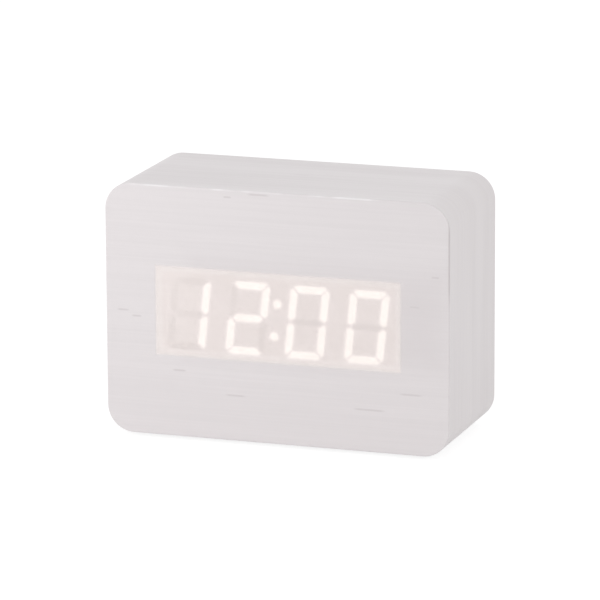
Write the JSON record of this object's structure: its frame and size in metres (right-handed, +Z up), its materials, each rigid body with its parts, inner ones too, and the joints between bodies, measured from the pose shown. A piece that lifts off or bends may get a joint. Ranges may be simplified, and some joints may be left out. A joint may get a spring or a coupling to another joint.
{
  "type": "digital desk clock",
  "caption": "Rounded white wood-effect box whose lit digits show through its front film, with setting keys, a sound switch, a power socket and a battery door at the back.",
  "frame": {"origin": "middle of the footprint, level with the surface that the foot pads rest on", "axes": "+X to the right of someone facing the display, +Y from the display to the back, +Z up"},
  "size_m": [0.1, 0.0432, 0.0723],
  "materials": {
    "wood_foil": "white wood-effect film, fine horizontal grain",
    "board_mdf": "plain fibreboard, back edge sealed white",
    "foot_foam": "dark grey foam",
    "diffuser": "milky film",
    "display_plastic": "pale moulded plastic",
    "lit_lens": "milky resin, glowing white",
    "unlit_lens": "milky resin, dark",
    "led_die": "yellow phosphor",
    "circuit_board": "green solder mask",
    "chip_plastic": "black moulded resin",
    "tinned_metal": "tinned",
    "cell_steel": "fine brushed",
    "switch_plastic": "black moulded plastic",
    "plunger_plastic": "black moulded plastic",
    "microphone_can": "drawn can, felt face",
    "capacitor_sleeve": "shrunk sleeve, bare metal end",
    "spacer_nylon": "natural nylon",
    "screw_steel": "zinc plated",
    "ribbon_vinyl": "grey vinyl, ribbed",
    "lead_red": "red vinyl",
    "lead_black": "black vinyl",
    "back_plastic": "off-white, fine spark texture",
    "button_plastic": "light grey, satin",
    "cell_jacket": "plain printed sleeve, metal ends",
    "contact_nickel": "nickel plated"
  },
  "bodies": {
    "clock": {"front_foil": "wood_foil", "side_foil": "wood_foil", "front_board": "board_mdf", "case_ring": "board_mdf", "foot_pads": "foot_foam", "display_film": "diffuser", "display_housing": "display_plastic", "hour_tens_lit_bars": "lit_lens", "hour_units_lit_bars": "lit_lens", "minute_tens_lit_bars": "lit_lens", "minute_units_lit_bars": "lit_lens", "colon_dots": "lit_lens", "hour_tens_unlit_bars": "unlit_lens", "hour_units_unlit_bars": "unlit_lens", "minute_tens_unlit_bars": "unlit_lens", "minute_units_unlit_bars": "unlit_lens", "led_chips": "led_die", "main_board": "circuit_board", "rear_board": "circuit_board", "display_board": "circuit_board", "controller_chip": "chip_plastic", "clock_chip": "chip_plastic", "temperature_sensor": "chip_plastic", "digit_transistors": "chip_plastic", "board_resistors": "chip_plastic", "chip_legs": "tinned_metal", "display_pins": "tinned_metal", "clock_crystal": "tinned_metal", "power_socket_pin": "tinned_metal", "backup_cell_clip": "tinned_metal", "backup_cell": "cell_steel", "push_switches": "switch_plastic", "sound_switch_body": "switch_plastic", "power_socket_body": "switch_plastic", "backup_cell_holder": "switch_plastic", "buzzer": "switch_plastic", "microphone": "microphone_can", "board_capacitors": "capacitor_sleeve", "board_spacers": "spacer_nylon", "board_screws": "screw_steel", "rear_board_screws": "screw_steel", "panel_screws": "screw_steel", "board_ribbon": "ribbon_vinyl", "battery_lead_positive": "lead_red", "battery_lead_negative": "lead_black", "back_panel": "back_plastic", "battery_tray": "back_plastic", "battery_cell_upper": "cell_jacket", "battery_cell_middle": "cell_jacket", "battery_cell_lower": "cell_jacket", "contact_plates": "contact_nickel", "contact_springs": "contact_nickel"},
    "set_key": {"set_button": "button_plastic", "set_plunger": "plunger_plastic"},
    "up_key": {"up_button": "button_plastic", "up_plunger": "plunger_plastic"},
    "down_key": {"down_button": "button_plastic", "down_plunger": "plunger_plastic"},
    "sound_slider": {"sound_switch_knob": "button_plastic"},
    "door": {"battery_door": "back_plastic"}
  },
  "joints": [
    {"name": "set_press", "type": "slide", "parent": "clock", "child": "set_key", "axis": [0, -1, 0], "range_m": [0, 0.0004], "stiffness_N_per_m": 2500, "springref_m": -0.0002},
    {"name": "up_press", "type": "slide", "parent": "clock", "child": "up_key", "axis": [0, -1, 0], "range_m": [0, 0.0004], "stiffness_N_per_m": 2500, "springref_m": -0.0002},
    {"name": "down_press", "type": "slide", "parent": "clock", "child": "down_key", "axis": [0, -1, 0], "range_m": [0, 0.0004], "stiffness_N_per_m": 2500, "springref_m": -0.0002},
    {"name": "sound_slide", "type": "slide", "parent": "clock", "child": "sound_slider", "axis": [1, 0, 0], "range_m": [0, 0.002]},
    {"name": "door_lift", "type": "slide", "parent": "clock", "child": "door", "axis": [0, 1, 0], "range_m": [0, 0.03]}
  ]
}
